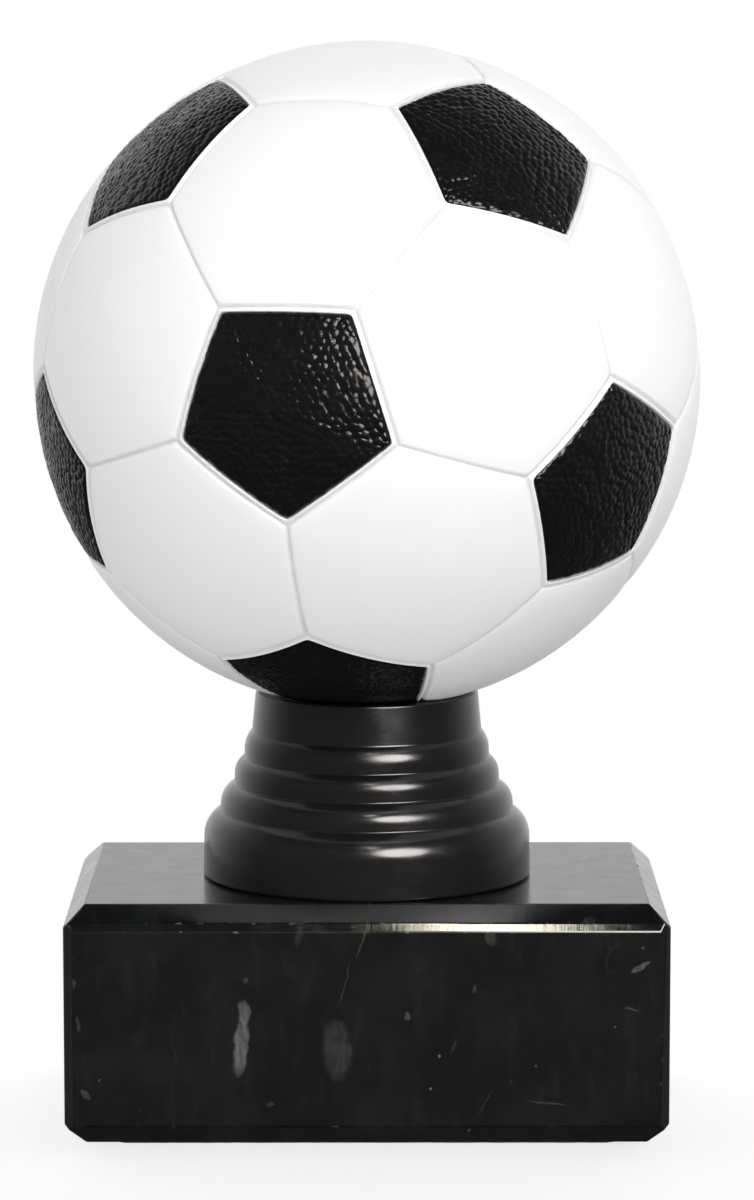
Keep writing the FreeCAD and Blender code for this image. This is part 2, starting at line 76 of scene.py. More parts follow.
BLACK_ROUND = 0.8 * MM
PEBBLE_PITCH = 1.0 * MM
ROW_GAP = math.sqrt(3) / 2
PEBBLE_HEIGHT = 0.23 * MM
SWELL_SIZE = 2 * MM
WOBBLE_BROAD = 0.9 * MM
WOBBLE_FINE = 0.45 * MM
PEG_EDGE = 0.2 * MM
PEG_RADIUS = 1.5 * MM

# camera, as seen from the ball's centre
CAMERA_DISTANCE = 568 * MM
CAMERA_ELEVATION = 4.8
AIM_BELOW = 2.713
AIM_RIGHT = 0.125
LENS = 141.75


# ---------------------------------------------------------------- mesh helpers


class Builder:
    """Collects points and faces. add returns the indices of the points it took."""

    def __init__(self):
        self.points, self.faces, self.count = [], [], 0

    def add(self, points):
        self.points.append(np.asarray(points, float))
        start = self.count
        self.count += len(points)
        return np.arange(start, self.count)

    def strip(self, inner, outer):
        """Quads between two closed loops of as many points."""
        for n in range(len(inner)):
            m = (n + 1) % len(inner)
            self.faces.append((inner[n], outer[n], outer[m], inner[m]))

    def loft(self, loops, closed=False):
        """Quads between each loop of points and the next, and when closed from the last to the first.
        Otherwise the two end loops are filled."""
        numbers = [self.add(loop) for loop in loops]
        for low, high in zip(numbers, numbers[1:] + numbers[:1] if closed else numbers[1:]):
            self.strip(high, low)
        if not closed:
            self.faces += [tuple(numbers[0][::-1]), tuple(numbers[-1])]

    def piece(self, name, material, slot, replaced, **masks):
        """A closed smooth mesh of all this, which rides on the one body and stands for CAD nodes. Each mask
        is a function from points to numbers, kept on the mesh for its material."""
        mesh = bpy.data.meshes.new(name)
        mesh.from_pydata(np.vstack(self.points).tolist(), [], [tuple(map(int, f)) for f in self.faces])
        work = bmesh.new()
        work.from_mesh(mesh)
        bmesh.ops.remove_doubles(work, verts=work.verts, dist=0.0005 * MM)
        bmesh.ops.recalc_face_normals(work, faces=work.faces)
        for face in work.faces:
            face.smooth = True
        work.to_mesh(mesh)
        work.free()
        for mask, function in masks.items():
            add_mask(mesh, mask, function)
        mesh.materials.append(material)
        piece = bpy.data.objects.new(name, mesh)
        bpy.context.scene.collection.objects.link(piece)
        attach(piece, "root")
        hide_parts(*replaced)
        return piece


def add_mask(mesh, name, function):
    """Keeps a number for each of a mesh's points, worked out from their places."""
    points = np.empty(3 * len(mesh.vertices))
    mesh.vertices.foreach_get("co", points)
    mask = mesh.attributes.new(name, "FLOAT", "POINT")
    mask.data.foreach_set("value", np.asarray(function(points.reshape(-1, 3)), float))


def ring(radius, height, steps, centre=(0, 0)):
    """A level loop about Z. radius may be one number or one for each step."""
    angles = np.linspace(0, 2 * math.pi, steps, endpoint=False)
    x, y = centre[0] + radius * np.cos(angles), centre[1] + radius * np.sin(angles)
    return np.column_stack([x, y, np.full(steps, height)])


def hexagon_ring(flats, height, steps):
    """A level six-sided loop about Z, with a corner on +X."""
    angles = np.linspace(0, 2 * math.pi, steps, endpoint=False)
    return ring(flats / 2 / np.cos(np.mod(angles, math.pi / 3) - math.pi / 6), height, steps)


def arc(centre, radius, start, end, steps):
    """Points of an arc in a profile of (radius, height) pairs, angles in degrees."""
    turns = np.radians(np.linspace(start, end, steps))
    return [(centre[0] + radius * math.cos(a), centre[1] + radius * math.sin(a)) for a in turns]


def add_rib(builder, profile, thickness, turn):
    """A flat rib that stands on a plane through Z. profile is its outline in (radius, height) pairs."""
    radii, heights = np.array(profile).T
    loops = []
    for side in (-thickness / 2, thickness / 2):
        x = radii * math.cos(turn) - side * math.sin(turn)
        y = radii * math.sin(turn) + side * math.cos(turn)
        loops.append(np.column_stack([x, y, heights]))
    builder.loft(loops)


def smoothstep(x):
    x = np.clip(x, 0, 1)
    return x * x * (3 - 2 * x)


# ---------------------------------------------------------------- the ball's panels


def ball_turn():
    spin = Quaternion((0, 0, 1), math.radians(PANEL_SPIN))
    raise_up = Quaternion((1, 0, 0), math.radians(90 - PANEL_ELEVATION))
    swing = Quaternion((0, 0, 1), math.radians(PANEL_AZIMUTH))
    return (swing @ raise_up @ spin).to_matrix()


def pentagon_centres():
    """An icosahedron's corners, one at each pole and two rings of five, turned to the ball's place."""
    level, rise = math.cos(math.atan(0.5)), math.sin(math.atan(0.5))
    found = [Vector((0, 0, 1)), Vector((0, 0, -1))]
    for step in range(5):
        for offset, height in ((0, rise), (36, -rise)):
            angle = math.radians(72 * step + offset)
            found.append(Vector((level * math.cos(angle), level * math.sin(angle), height)))
    turned = [ball_turn() @ centre for centre in found]
    return sorted(turned, key=lambda centre: -centre.z)


def neighbours(a, b):
    return 0.3 < a.dot(b) < 0.9


def in_order(points, centre):
    """Points sorted anticlockwise about a direction, seen from outside."""
    across = (points[0] - centre * points[0].dot(centre)).normalized()
    up = centre.cross(across)
    return sorted(points, key=lambda p: math.atan2(p.dot(up), p.dot(across)))


def on_ball(points, radius):
    """Points on rays from the ball's centre, moved to a radius, one for all or one for each."""
    directions = points / np.linalg.norm(points, axis=1)[:, None]
    return directions * np.reshape(radius, (-1, 1)) + np.array(BALL_CENTRE)


class Panel:
    """One panel of the ball. Its points are worked out on the flat polygon between its seams' corners, which
    are unit vectors, and then moved out along rays from the ball's centre."""

    def __init__(self, corners, centre):
        self.centre = centre
        self.corners = np.array(in_order(corners, centre))
        self.middle = self.corners.mean(axis=0)
        walls = np.cross(self.corners, np.roll(self.corners, -1, axis=0))
        self.walls = walls / np.linalg.norm(walls, axis=1)[:, None]
        self.reach = float(self.depth(self.middle[None, :])[0])

    def depth(self, points):
        """Distance to the nearest seam, rounded off where two seams are about as near."""
        directions = points / np.linalg.norm(points, axis=1)[:, None]
        distances = directions @ self.walls.T * BALL_RADIUS
        nearest = distances.min(axis=1)
        spread = np.exp((nearest[:, None] - distances) / CORNER_SOFTNESS).sum(axis=1)
        return nearest - CORNER_SOFTNESS * np.log(spread)

    def seam(self, steps):
        """Points along the seams, closer together near the corners."""
        share = np.arange(steps) / steps
        share = share - 0.75 * np.sin(2 * math.pi * share) / (2 * math.pi)
        following = np.roll(self.corners, -1, axis=0)
        return np.vstack([a + (b - a) * share[:, None] for a, b in zip(self.corners, following)])

    def contour(self, steps, depth):
        """Points at a depth inside the seams, on the rays from the middle to the seams' points."""
        ends = self.seam(steps)
        low, high = np.zeros(len(ends)), np.ones(len(ends))
        for _ in range(30):
            share = (low + high) / 2
            inside = self.depth(self.middle + (ends - self.middle) * share[:, None]) > depth
            low, high = np.where(inside, share, low), np.where(inside, high, share)
        return self.middle + (ends - self.middle) * low[:, None]

    def fill(self, builder, flat, loop, shape):
        """Closes a loop with rings that shrink to the middle. flat holds the loop's flat points."""
        for share in (0.75, 0.5, 0.25):
            following = builder.add(shape(self.middle + (flat - self.middle) * share))
            builder.strip(following, loop)
            loop = following
        tip = builder.add(shape(self.middle[None, :]))[0]
        builder.faces += [(tip, loop[n - 1], loop[n]) for n in range(len(loop))]

    def lattice(self, builder, flat, loop, shape):
        """Fills a loop with an even net of triangles. Each ring has its own number of them along a side."""
        sides = len(self.corners)
        steps = len(flat) // sides
        rings = [builder.add(shape(self.middle[None, :]))]
        for count in range(1, steps):
            places = (np.arange(sides)[:, None] * steps + np.arange(count) / count * steps).ravel()
            low = np.floor(places).astype(int)
            part = (places - low)[:, None]
            ends = flat[low] * (1 - part) + flat[(low + 1) % len(flat)] * part
            rings.append(builder.add(shape(self.middle + (ends - self.middle) * count / steps)))
        rings.append(loop)
        for count in range(1, steps + 1):
            outer, inner = rings[count], rings[count - 1]
            for side, n in itertools.product(range(sides), range(count)):
                a, b = outer[side * count + n], outer[(side * count + n + 1) % len(outer)]
                c, d = [inner[(side * (count - 1) + n + step) % len(inner)] for step in (0, 1)]
                builder.faces.append((a, b, c))
                if n < count - 1:
                    builder.faces.append((c, b, d))


def ball_panels():
    centres = pentagon_centres()
    pentagons = []
    for centre in centres:
        near = [c for c in centres if neighbours(centre, c)]
        pentagons.append(Panel([(centre * 2 + c).normalized() for c in near], centre))
    hexagons = []
    for trio in itertools.combinations(centres, 3):
        if all(neighbours(a, b) for a, b in itertools.combinations(trio, 2)):
            corners = [(a * 2 + b).normalized() for a, b in itertools.permutations(trio, 2)]
            hexagons.append(Panel(corners, sum(trio, Vector()).normalized()))
    return pentagons, hexagons


# ---------------------------------------------------------------- the white shells

SEAM_STEPS = 24
GROOVE_DEPTHS = [d * MM for d in (0.06, 0.12, 0.18, 0.24, 0.3, 0.36, 0.42, 0.48)]
FIELD_DEPTHS = [d * MM for d in (0.6, 0.8, 1.05, 1.35, 1.65, 1.9, 2.3)]


def white_radius(panel, points):
    """The seam's soft groove, a pillowed shoulder, then a slight crown over the panel."""
    depth = panel.depth(points)
    groove = smoothstep(depth / SEAM_HALF_WIDTH)
    shoulder = 1 - (1 - np.clip(depth / SHOULDER_END, 0, 1)) ** 2
    crown = 1 - (1 - np.clip(depth / panel.reach, 0, 1)) ** 3
    return SEAM_FLOOR + (SEAM_EDGE - SEAM_FLOOR) * groove + SHOULDER * shoulder + CROWN * crown


def add_rings(builder, panel, loop, depths, shape):
    """Rings inside a loop, one at each depth. Returns the last one's flat points and indices."""
    for depth in depths:
        flat = panel.contour(SEAM_STEPS, depth)
        following = builder.add(shape(flat))
        builder.strip(following, loop)
        loop = following
    return flat, loop


def add_white_panel(builder, panel, seam_loop):
    shape = lambda points: on_ball(points, white_radius(panel, points))
    flat, loop = add_rings(builder, panel, seam_loop, GROOVE_DEPTHS + FIELD_DEPTHS, shape)
    panel.lattice(builder, flat, loop, shape)


def add_pocket(builder, panel, seam_loop):
    """A white margin inside the seam, then a sunk pocket for a black panel."""
    shape = lambda points: on_ball(points, white_radius(panel, points))
    flat, loop = add_rings(builder, panel, seam_loop, GROOVE_DEPTHS + [POCKET_INSET - LIP_WIDTH], shape)
    lip = lambda points: on_ball(points, white_radius(panel, points) - LIP_DROP)
    floor = lambda points: on_ball(points, POCKET_FLOOR)
    flat, loop = add_rings(builder, panel, loop, [POCKET_INSET], lip)
    flat, loop = add_rings(builder, panel, loop, [POCKET_INSET], floor)
    panel.fill(builder, flat, loop, floor)


def add_inside(builder, panel, seam_loop, other_sides):
    """The shell's inner face behind a panel, and its joint face along the sides that meet the other shell."""
    seam = panel.seam(SEAM_STEPS)
    shape = lambda points: on_ball(points, SHELL_INSIDE)
    inner_loop = builder.add(shape(seam))
    panel.fill(builder, seam, inner_loop, shape)
    for side in other_sides:
        for n in range(side * SEAM_STEPS, (side + 1) * SEAM_STEPS):
            m = (n + 1) % len(seam)
            builder.faces.append((seam_loop[n], seam_loop[m], inner_loop[m], inner_loop[n]))


def side_keys(panel):
    """A name for each side of a panel, the same for both panels that share it."""
    middles = panel.corners + np.roll(panel.corners, -1, axis=0)
    return [tuple(np.round(middle, 4) + 0.0) for middle in middles]


def add_shell(builder, pentagons, hexagons):
    counts = {}
    for panel in pentagons + hexagons:
        for key in side_keys(panel):
            counts[key] = counts.get(key, 0) + 1
    for panel in pentagons + hexagons:
        seam_loop = builder.add(on_ball(panel.seam(SEAM_STEPS), SEAM_FLOOR))
        (add_pocket if panel in pentagons else add_white_panel)(builder, panel, seam_loop)
        other_sides = [side for side, key in enumerate(side_keys(panel)) if counts[key] == 1]
        add_inside(builder, panel, seam_loop, other_sides)


LIP_INSIDE, LIP_OUTSIDE, LIP_ROOT = 36.2 * MM, 37.4 * MM, 37.6 * MM
LIP_LOW, LIP_STEP, LIP_HIGH = -17 * MM, -13 * MM, 13 * MM


def add_lip(builder):
    """The ring inside the lower shell that the upper one slips over."""
    latitude = lambda height, radius: math.degrees(math.asin(height / radius))
    centre = (0, BALL_CENTRE.z)
    profile = arc(centre, LIP_ROOT, latitude(LIP_LOW, LIP_ROOT), latitude(LIP_STEP, LIP_ROOT), 6)
    profile += arc(centre, LIP_OUTSIDE, latitude(LIP_STEP, LIP_OUTSIDE), latitude(LIP_HIGH, LIP_OUTSIDE), 24)
    profile += arc(centre, LIP_INSIDE, latitude(LIP_HIGH, LIP_INSIDE), latitude(LIP_LOW, LIP_INSIDE), 30)
    builder.loft([ring(radius, height, 144) for radius, height in profile], closed=True)


HUB_RADIUS = 8.5 * MM
HUB_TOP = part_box("nut_cap")[1].z - 2 * MM
POCKET_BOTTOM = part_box("ball_nut")[0].z
POCKET_FLATS = 10.1 * MM
ROD_HOLE = 3.3 * MM
FITTING_LIMIT = 38.0 * MM
HUB_RIB_TOP = HUB_TOP - 4 * MM
HUB_RIB_THICKNESS = 1.6 * MM
HUB_EDGE = 0.3 * MM
RIB_ROOT = 0.5 * MM


def add_hub(builder):
    """The post that holds the ball's nut, with six ribs out to the wall."""
    steps = 72
    foot = BALL_CENTRE.z - math.sqrt(FITTING_LIMIT**2 - HUB_RADIUS**2)
    loops = [
        ring(ROD_HOLE, foot, steps),
        ring(HUB_RADIUS, foot, steps),
        ring(HUB_RADIUS, HUB_TOP - HUB_EDGE, steps),
        ring(HUB_RADIUS - HUB_EDGE, HUB_TOP, steps),
        hexagon_ring(POCKET_FLATS, HUB_TOP, steps),
        hexagon_ring(POCKET_FLATS, POCKET_BOTTOM, steps),
        ring(ROD_HOLE, POCKET_BOTTOM, steps),
    ]
    builder.loft(loops, closed=True)
    drop = BALL_CENTRE.z - HUB_RIB_TOP
    inner = HUB_RADIUS - RIB_ROOT
    low = -math.degrees(math.acos(inner / FITTING_LIMIT))
    high = -math.degrees(math.asin(drop / FITTING_LIMIT))
    profile = arc((0, BALL_CENTRE.z), FITTING_LIMIT, low, high, 12) + [(inner, HUB_RIB_TOP)]
    for n in range(6):
        add_rib(builder, profile, HUB_RIB_THICKNESS, n * math.pi / 3)


def seam_mask(panels):
    """1 along the seams' bottoms and 0 from the edges of their grooves, on the shell's outside. The white
    material paints shade into the seams with it.
    """
    def mask(points):
        rays = points - np.array(BALL_CENTRE)
        radii = np.linalg.norm(rays, axis=1)
        directions = rays / radii[:, None]
        depth = np.max([(directions @ panel.walls.T).min(axis=1) for panel in panels], axis=0) * BALL_RADIUS
        return (1 - smoothstep(depth / SEAM_HALF_WIDTH)) * (radii > SEAM_FLOOR - 0.1 * MM)

    return mask


def make_shells(pentagons, hexagons, material):
    seam = seam_mask(pentagons + hexagons)
    for name, is_here in (("upper", lambda p: p.centre.z > 0), ("lower", lambda p: p.centre.z < 0)):
        builder = Builder()
        add_shell(builder, list(filter(is_here, pentagons)), list(filter(is_here, hexagons)))
        if name == "lower":
            add_lip(builder)
            add_hub(builder)
        replaced = [f"ball_{name}_shell"]
        builder.piece(f"moulded_{name}_shell", material, "white_plastic", replaced, seam=seam)


# ---------------------------------------------------------------- the black panels

BLACK_STEPS = 70
PEBBLE_JITTER = np.random.default_rng(11).uniform(-0.3, 0.3, (64, 64, 2))


def pebbles(places, centre):
    """Height of the moulded grain, 0 in its creases and 1 on its domes: uneven rows of round pebbles on
    the plane that touches the ball at a panel's middle."""
    frame_of_panel = np.array(centre.to_track_quat("Z", "Y").to_matrix())
    x, y = (places @ frame_of_panel)[:, :2].T / PEBBLE_PITCH
    row = np.floor(y / ROW_GAP).astype(int)
    distances = []
    for other_row in (row - 1, row, row + 1):
        shift = 0.5 * (other_row % 2)
        column = np.floor(x - shift).astype(int)
        for other_column in (column - 1, column, column + 1):
            jitter = PEBBLE_JITTER[other_row % 64, other_column % 64]
            across = other_column + 0.5 + shift + jitter[:, 0] - x
            along = (other_row + 0.5) * ROW_GAP + jitter[:, 1] - y
            distances.append(np.hypot(across, along))
    nearest, second = np.sort(distances, axis=0)[:2]
    dome = 1 - np.clip(nearest / 0.75, 0, 1) ** 2
    crease = np.clip((second - nearest) / 0.22, 0, 1)
    return 0.7 * dome + 0.3 * crease


def black_surface(panel, points):
    """The panel's outside: round over at its rim, and pebbled."""
    depth = np.clip((panel.depth(points) - BLACK_INSET) / BLACK_ROUND, 0, 1)
    edge = np.sqrt(1 - (1 - depth) ** 2)
    places = on_ball(points, BLACK_TOP)
    swell = [noise.noise(Vector(place) / SWELL_SIZE) for place in places]
    grain = pebbles(places, panel.centre) + 0.3 * np.array(swell) - 0.5
    rise = (BLACK_TOP - BLACK_RIM) * edge + PEBBLE_HEIGHT * grain * (0.6 + 0.4 * edge)
    return on_ball(points, BLACK_RIM + rise)


def add_peg(builder, centre):
    """The peg behind a panel, along the panel's own axis."""
    turn = np.array(centre.to_track_quat("Z", "Y").to_matrix())
    loops = []
    for radius, reach in ((PEG_RADIUS - PEG_EDGE, SHELL_INSIDE), (PEG_RADIUS, SHELL_INSIDE + PEG_EDGE),
                          (PEG_RADIUS, BLACK_BOTTOM + PEG_EDGE)):
        loops.append(ring(radius, reach, 32) @ turn.T + np.array(BALL_CENTRE))
    builder.loft(loops)


def make_black_panels(pentagons, material):
    for number, panel in enumerate(pentagons, start=1):
        builder = Builder()
        ends = on_ball(panel.seam(BLACK_STEPS), BALL_RADIUS)
        broad = np.array([noise.noise(Vector(end) / WOBBLE_BROAD) for end in ends])
        fine = np.array([noise.noise(Vector(end) / WOBBLE_FINE) for end in ends])
        wobble = broad + 0.6 * fine
        flat = panel.contour(BLACK_STEPS, BLACK_INSET + BLACK_WOBBLE * np.clip(wobble, -0.45, 1))
        shape = lambda points: black_surface(panel, points)
        back = lambda points: on_ball(points, BLACK_BOTTOM)
        loop = builder.add(shape(flat))
        panel.lattice(builder, flat, loop, shape)
        back_loop = builder.add(back(flat))
        builder.strip(loop, back_loop)
        panel.fill(builder, flat, back_loop, back)
        add_peg(builder, panel.centre)
        builder.piece(f"grained_panel_{number:02d}", material, "black_grained", [f"black_panel_{number:02d}"])


# ---------------------------------------------------------------- the pedestal

PEDESTAL_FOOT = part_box("pedestal")[0].z
PEDESTAL_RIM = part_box("pedestal")[1].z
CUP_RADIUS = 40.1 * MM
TUBE_RADIUS = 5.5 * MM
PEDESTAL_WALL = 2 * MM
PEDESTAL_RIB = 1.4 * MM
CUP_FLOOR = 3.2 * MM
FOOT_EDGE = 0.3 * MM
RIM_EDGE = 0.25 * MM
RIM_LIP = 0.5 * MM
# radius at a tier's foot and at the top of its wall, its height, and how much of that is rounded
TIERS = [
    (19.85 * MM, 19.75 * MM, 8.0 * MM, 3.2 * MM),
    (17.75 * MM, 17.72 * MM, 3.2 * MM, 2.4 * MM),
    (16.05 * MM, 16.02 * MM, 3.2 * MM, 2.0 * MM),
    (14.83 * MM, 14.8 * MM, 3.25 * MM, 2.2 * MM),
]
COLLAR_FOOT, COLLAR_RIM = 13.9 * MM, 13.45 * MM


def evened(profile, gap):
    """The same outline with points at even gaps."""
    points = np.array(profile)
    along = np.concatenate([[0], np.cumsum(np.linalg.norm(np.diff(points, axis=0), axis=1))])
    places = np.linspace(0, along[-1], max(2, round(along[-1] / gap) + 1))
    return np.column_stack([np.interp(places, along, points[:, axis]) for axis in (0, 1)])


def softened(profile, reach):
    """Rounds every corner of an evened outline off over a few points, ends kept."""
    padded = np.pad(profile, ((reach, reach), (0, 0)), mode="reflect", reflect_type="odd")
    weights = np.hanning(2 * reach + 3)[1:-1]
    weights /= weights.sum()
    return np.column_stack([np.convolve(padded[:, axis], weights, "valid") for axis in (0, 1)])


def pedestal_outside():
    """Up the foot, the three rings and the collar: each wall, then its rounded shoulder."""
    profile = [(TIERS[0][0] - FOOT_EDGE, PEDESTAL_FOOT), (TIERS[0][0], PEDESTAL_FOOT + FOOT_EDGE)]
    top = PEDESTAL_FOOT
    next_feet = [tier[0] for tier in TIERS[1:]] + [COLLAR_FOOT]
    for (foot, wall, height, rise), next_foot in zip(TIERS, next_feet):
        profile.append((foot, top + FOOT_EDGE))
        top += height
        run = wall - next_foot
        radius = (run**2 + rise**2) / (2 * run)
        profile += arc((wall - radius, top - rise), radius, 0, math.degrees(math.asin(rise / radius)), 16)
    profile.append((COLLAR_RIM, PEDESTAL_RIM - RIM_EDGE))
    profile.append((COLLAR_RIM - FOOT_EDGE, PEDESTAL_RIM))
    return softened(evened(profile, 0.1 * MM), 1)


def pedestal_inside():
    """Down the cup, the rod's bore and the tube, and along the cavity to the foot again."""
    cup_edge = -math.degrees(math.acos((COLLAR_RIM - RIM_LIP) / CUP_RADIUS))
    cup_middle = -math.degrees(math.acos(ROD_HOLE / CUP_RADIUS))
    profile = arc((0, BALL_CENTRE.z), CUP_RADIUS, cup_edge, cup_middle, 24)
    ceiling = BALL_CENTRE.z - CUP_RADIUS - CUP_FLOOR
    profile += [(ROD_HOLE, PEDESTAL_FOOT), (TUBE_RADIUS, PEDESTAL_FOOT), (TUBE_RADIUS, ceiling)]
    return profile, cavity_wall(ceiling)


def cavity_wall(ceiling):
    foot_top = PEDESTAL_FOOT + TIERS[0][2]
    return [
        (COLLAR_FOOT - PEDESTAL_WALL, ceiling),
        (TIERS[1][0] - PEDESTAL_WALL, foot_top),
        (TIERS[0][0] - PEDESTAL_WALL, foot_top - TIERS[0][3]),
        (TIERS[0][0] - PEDESTAL_WALL, PEDESTAL_FOOT),
    ]


def make_pedestal(material):
    builder = Builder()
    core, wall = pedestal_inside()
    profile = [tuple(point) for point in pedestal_outside()] + core + wall
    builder.loft([ring(radius, height, 192) for radius, height in profile], closed=True)
    reach = [(radius + RIB_ROOT, height) for radius, height in wall[::-1]]
    rib = reach + [(TUBE_RADIUS - RIB_ROOT, wall[0][1]), (TUBE_RADIUS - RIB_ROOT, PEDESTAL_FOOT)]
    for n in range(6):
        add_rib(builder, rib, PEDESTAL_RIB, n * math.pi / 3)
    builder.piece("stepped_pedestal", material, "pedestal_plastic", ["pedestal"])


# ---------------------------------------------------------------- the marble block

BLOCK_LOW, BLOCK_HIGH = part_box("marble_block")
BEVEL, CORNER_BEVEL = 2.5 * MM, 1.2 * MM
ARRIS = 0.16 * MM
LARGEST_ARRIS_FACE = 12 * MM**2
RECESS_RADIUS, BORE_RADIUS = 11 * MM, 4.25 * MM
RECESS_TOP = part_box("flat_washer")[1].z
# a narrow facet under the front's top bevel
FACET_NORMAL = Vector((0, -math.cos(math.radians(30)), math.sin(math.radians(30))))
FACET_POINT = Vector((0, BLOCK_LOW.y, BLOCK_HIGH.z - BEVEL - 0.42 * MM))


def cut_off(work, point, normal):
    """Takes away what lies beyond a plane and closes the cut."""
    parts = work.verts[:] + work.edges[:] + work.faces[:]
    cut = bmesh.ops.bisect_plane(work, geom=parts, plane_co=point, plane_no=normal, clear_outer=True)
    edges = [part for part in cut["geom_cut"] if isinstance(part, bmesh.types.BMEdge)]
    if edges:
        bmesh.ops.contextual_create(work, geom=edges)


def bevelled_block():
    """The block with its broad bevels, its narrow upright ones, and every arris rubbed down."""
    half = (BLOCK_HIGH - BLOCK_LOW) / 2
    middle = (BLOCK_HIGH + BLOCK_LOW) / 2
    work = bmesh.new()
    bmesh.ops.create_cube(work, size=1)
    bmesh.ops.scale(work, vec=half * 2, verts=work.verts)
    for x, y in itertools.product((-1, 1), repeat=2):
        edge = Vector((x * half.x, y * half.y, 0))
        inward = Vector((x * CORNER_BEVEL / 2, y * CORNER_BEVEL / 2, 0))
        cut_off(work, edge - inward, Vector((x, y, 0)).normalized())
    for z, side in itertools.product((-1, 1), ((1, 0), (-1, 0), (0, 1), (0, -1))):
        edge = Vector((side[0] * half.x, side[1] * half.y, z * half.z))
        outward = Vector((side[0], side[1], z))
        cut_off(work, edge - outward * BEVEL / 2, outward.normalized())
    cut_off(work, FACET_POINT - (BLOCK_HIGH + BLOCK_LOW) / 2, FACET_NORMAL)
    bmesh.ops.bevel(work, geom=work.edges[:], offset=ARRIS, segments=3, profile=0.5, affect="EDGES")
    bmesh.ops.translate(work, vec=middle, verts=work.verts)
    return work


def make_block(material):
    mesh = bpy.data.meshes.new("bevelled_marble")
    work = bevelled_block()
    work.to_mesh(mesh)
    work.free()
    mesh.materials.append(material)
    block = bpy.data.objects.new("bevelled_marble", mesh)
    bpy.context.scene.collection.objects.link(block)
    drill = Builder()
    steps, past = 96, 1 * MM
    stepped = [
        (RECESS_RADIUS, BLOCK_LOW.z - past),
        (RECESS_RADIUS, RECESS_TOP),
        (BORE_RADIUS, RECESS_TOP),
        (BORE_RADIUS, BLOCK_HIGH.z + past),
    ]
    drill.loft([ring(radius, height, steps) for radius, height in stepped])
    cut_with(block, drill)
    for face in block.data.polygons:
        face.use_smooth = face.area < LARGEST_ARRIS_FACE
    add_mask(block.data, "arris", lambda points: arris_mask(block.data))
    off_facet = lambda points: np.abs((points - np.array(FACET_POINT)) @ np.array(FACET_NORMAL))
    add_mask(block.data, "facet", lambda points: (off_facet(points) < 0.01 * MM).astype(float))
    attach(block, "root")
    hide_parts("marble_block")


def arris_mask(mesh):
    """1 at the points inside the rubbed arrises, 0 at those that a broad face touches."""
    mask = np.ones(len(mesh.vertices))
    for face in mesh.polygons:
        if face.area > LARGEST_ARRIS_FACE:
            mask[list(face.vertices)] = 0
    return mask


def cut_with(piece, builder):
    """Cuts a builder's closed solid out of a piece's mesh."""
    mesh = bpy.data.meshes.new("cutter")
    mesh.from_pydata(np.vstack(builder.points).tolist(), [], [tuple(map(int, f)) for f in builder.faces])
    cutter = bpy.data.objects.new("cutter", mesh)
    bpy.context.scene.collection.objects.link(cutter)
    boolean = piece.modifiers.new("bore", "BOOLEAN")
    boolean.operation = "DIFFERENCE"
    boolean.solver = "EXACT"
    boolean.object = cutter
    evaluated = piece.evaluated_get(bpy.context.evaluated_depsgraph_get())
    cut = bpy.data.meshes.new_from_object(evaluated)
    piece.modifiers.clear()
    piece.data = cut
    bpy.data.objects.remove(cutter)


# ---------------------------------------------------------------- felt and hardware

FELT_LOW, FELT_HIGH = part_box("felt_pad")
FELT_CORNER = 2 * MM
FELT_EDGE = 0.12 * MM


def rounded_rectangle(inset, height):
    """A level loop round the felt, moved in from its edge."""
    half = (FELT_HIGH - FELT_LOW) / 2
    corners = []
    for number, (x, y) in enumerate(((1, 1), (-1, 1), (-1, -1), (1, -1))):
        middle = (x * (half.x - FELT_CORNER), y * (half.y - FELT_CORNER))
        corners += arc(middle, FELT_CORNER - inset, 90 * number, 90 * number + 90, 8)
    loop = evened(corners + corners[:1], 0.4 * MM)[:-1]
    return np.column_stack([loop, np.full(len(loop), height)])


def make_felt(material):
    """Cut felt: soft edges with a slight wander, and a nap that stands a little uneven."""
    builder = Builder()
    low, high = FELT_LOW.z, FELT_HIGH.z
    outline = rounded_rectangle(FELT_EDGE, 0)
    levels = [(0.55, low), (0.8, low), (0.93, low), (0.985, low), (1, low + 0.15 * MM),
              (1.0, high - FELT_EDGE), (0.985, high), (0.8, high), (0.55, high)]
    loops = []
    for share, height in levels:
        loop = outline * [share, share, 1]
        wander = [noise.noise_vector(Vector(p) / (1.2 * MM)) for p in loop]
        loop[:, :2] += np.array(wander)[:, :2] * 0.1 * MM
        loop[:, 2] = height
        loops.append(loop)
    builder.loft(loops)
    builder.piece("cut_felt", material, "felt", ["felt_pad"])


ROD_RADIUS, THREAD_DEPTH, THREAD_PITCH = 3 * MM, 0.55 * MM, 1 * MM
ROD_LOW, ROD_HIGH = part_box("threaded_rod")[0].z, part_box("threaded_rod")[1].z


def make_rod(material):
    """An M6 rod with a real helical thread, tapered off at both ends."""
    builder = Builder()
    steps, per_turn = 36, 6
    angles = np.linspace(0, 1, steps, endpoint=False)
    count = round((ROD_HIGH - ROD_LOW) / THREAD_PITCH * per_turn)
    loops = []
    for height in np.linspace(ROD_LOW, ROD_HIGH, count + 1):
        phase = np.mod(height / THREAD_PITCH - angles, 1)
        crest = np.clip(1.25 * np.abs(2 * phase - 1) - 0.05, 0, 1)
        from_end = min(height - ROD_LOW, ROD_HIGH - height)
        limit = ROD_RADIUS - THREAD_DEPTH * (1.2 - min(1.2, from_end / THREAD_DEPTH))
        loops.append(ring(np.minimum(ROD_RADIUS - THREAD_DEPTH * (1 - crest), limit), height, steps))
    builder.loft(loops)
    builder.piece("helical_rod", material, "zinc_steel", ["threaded_rod"])


# ---------------------------------------------------------------- materials


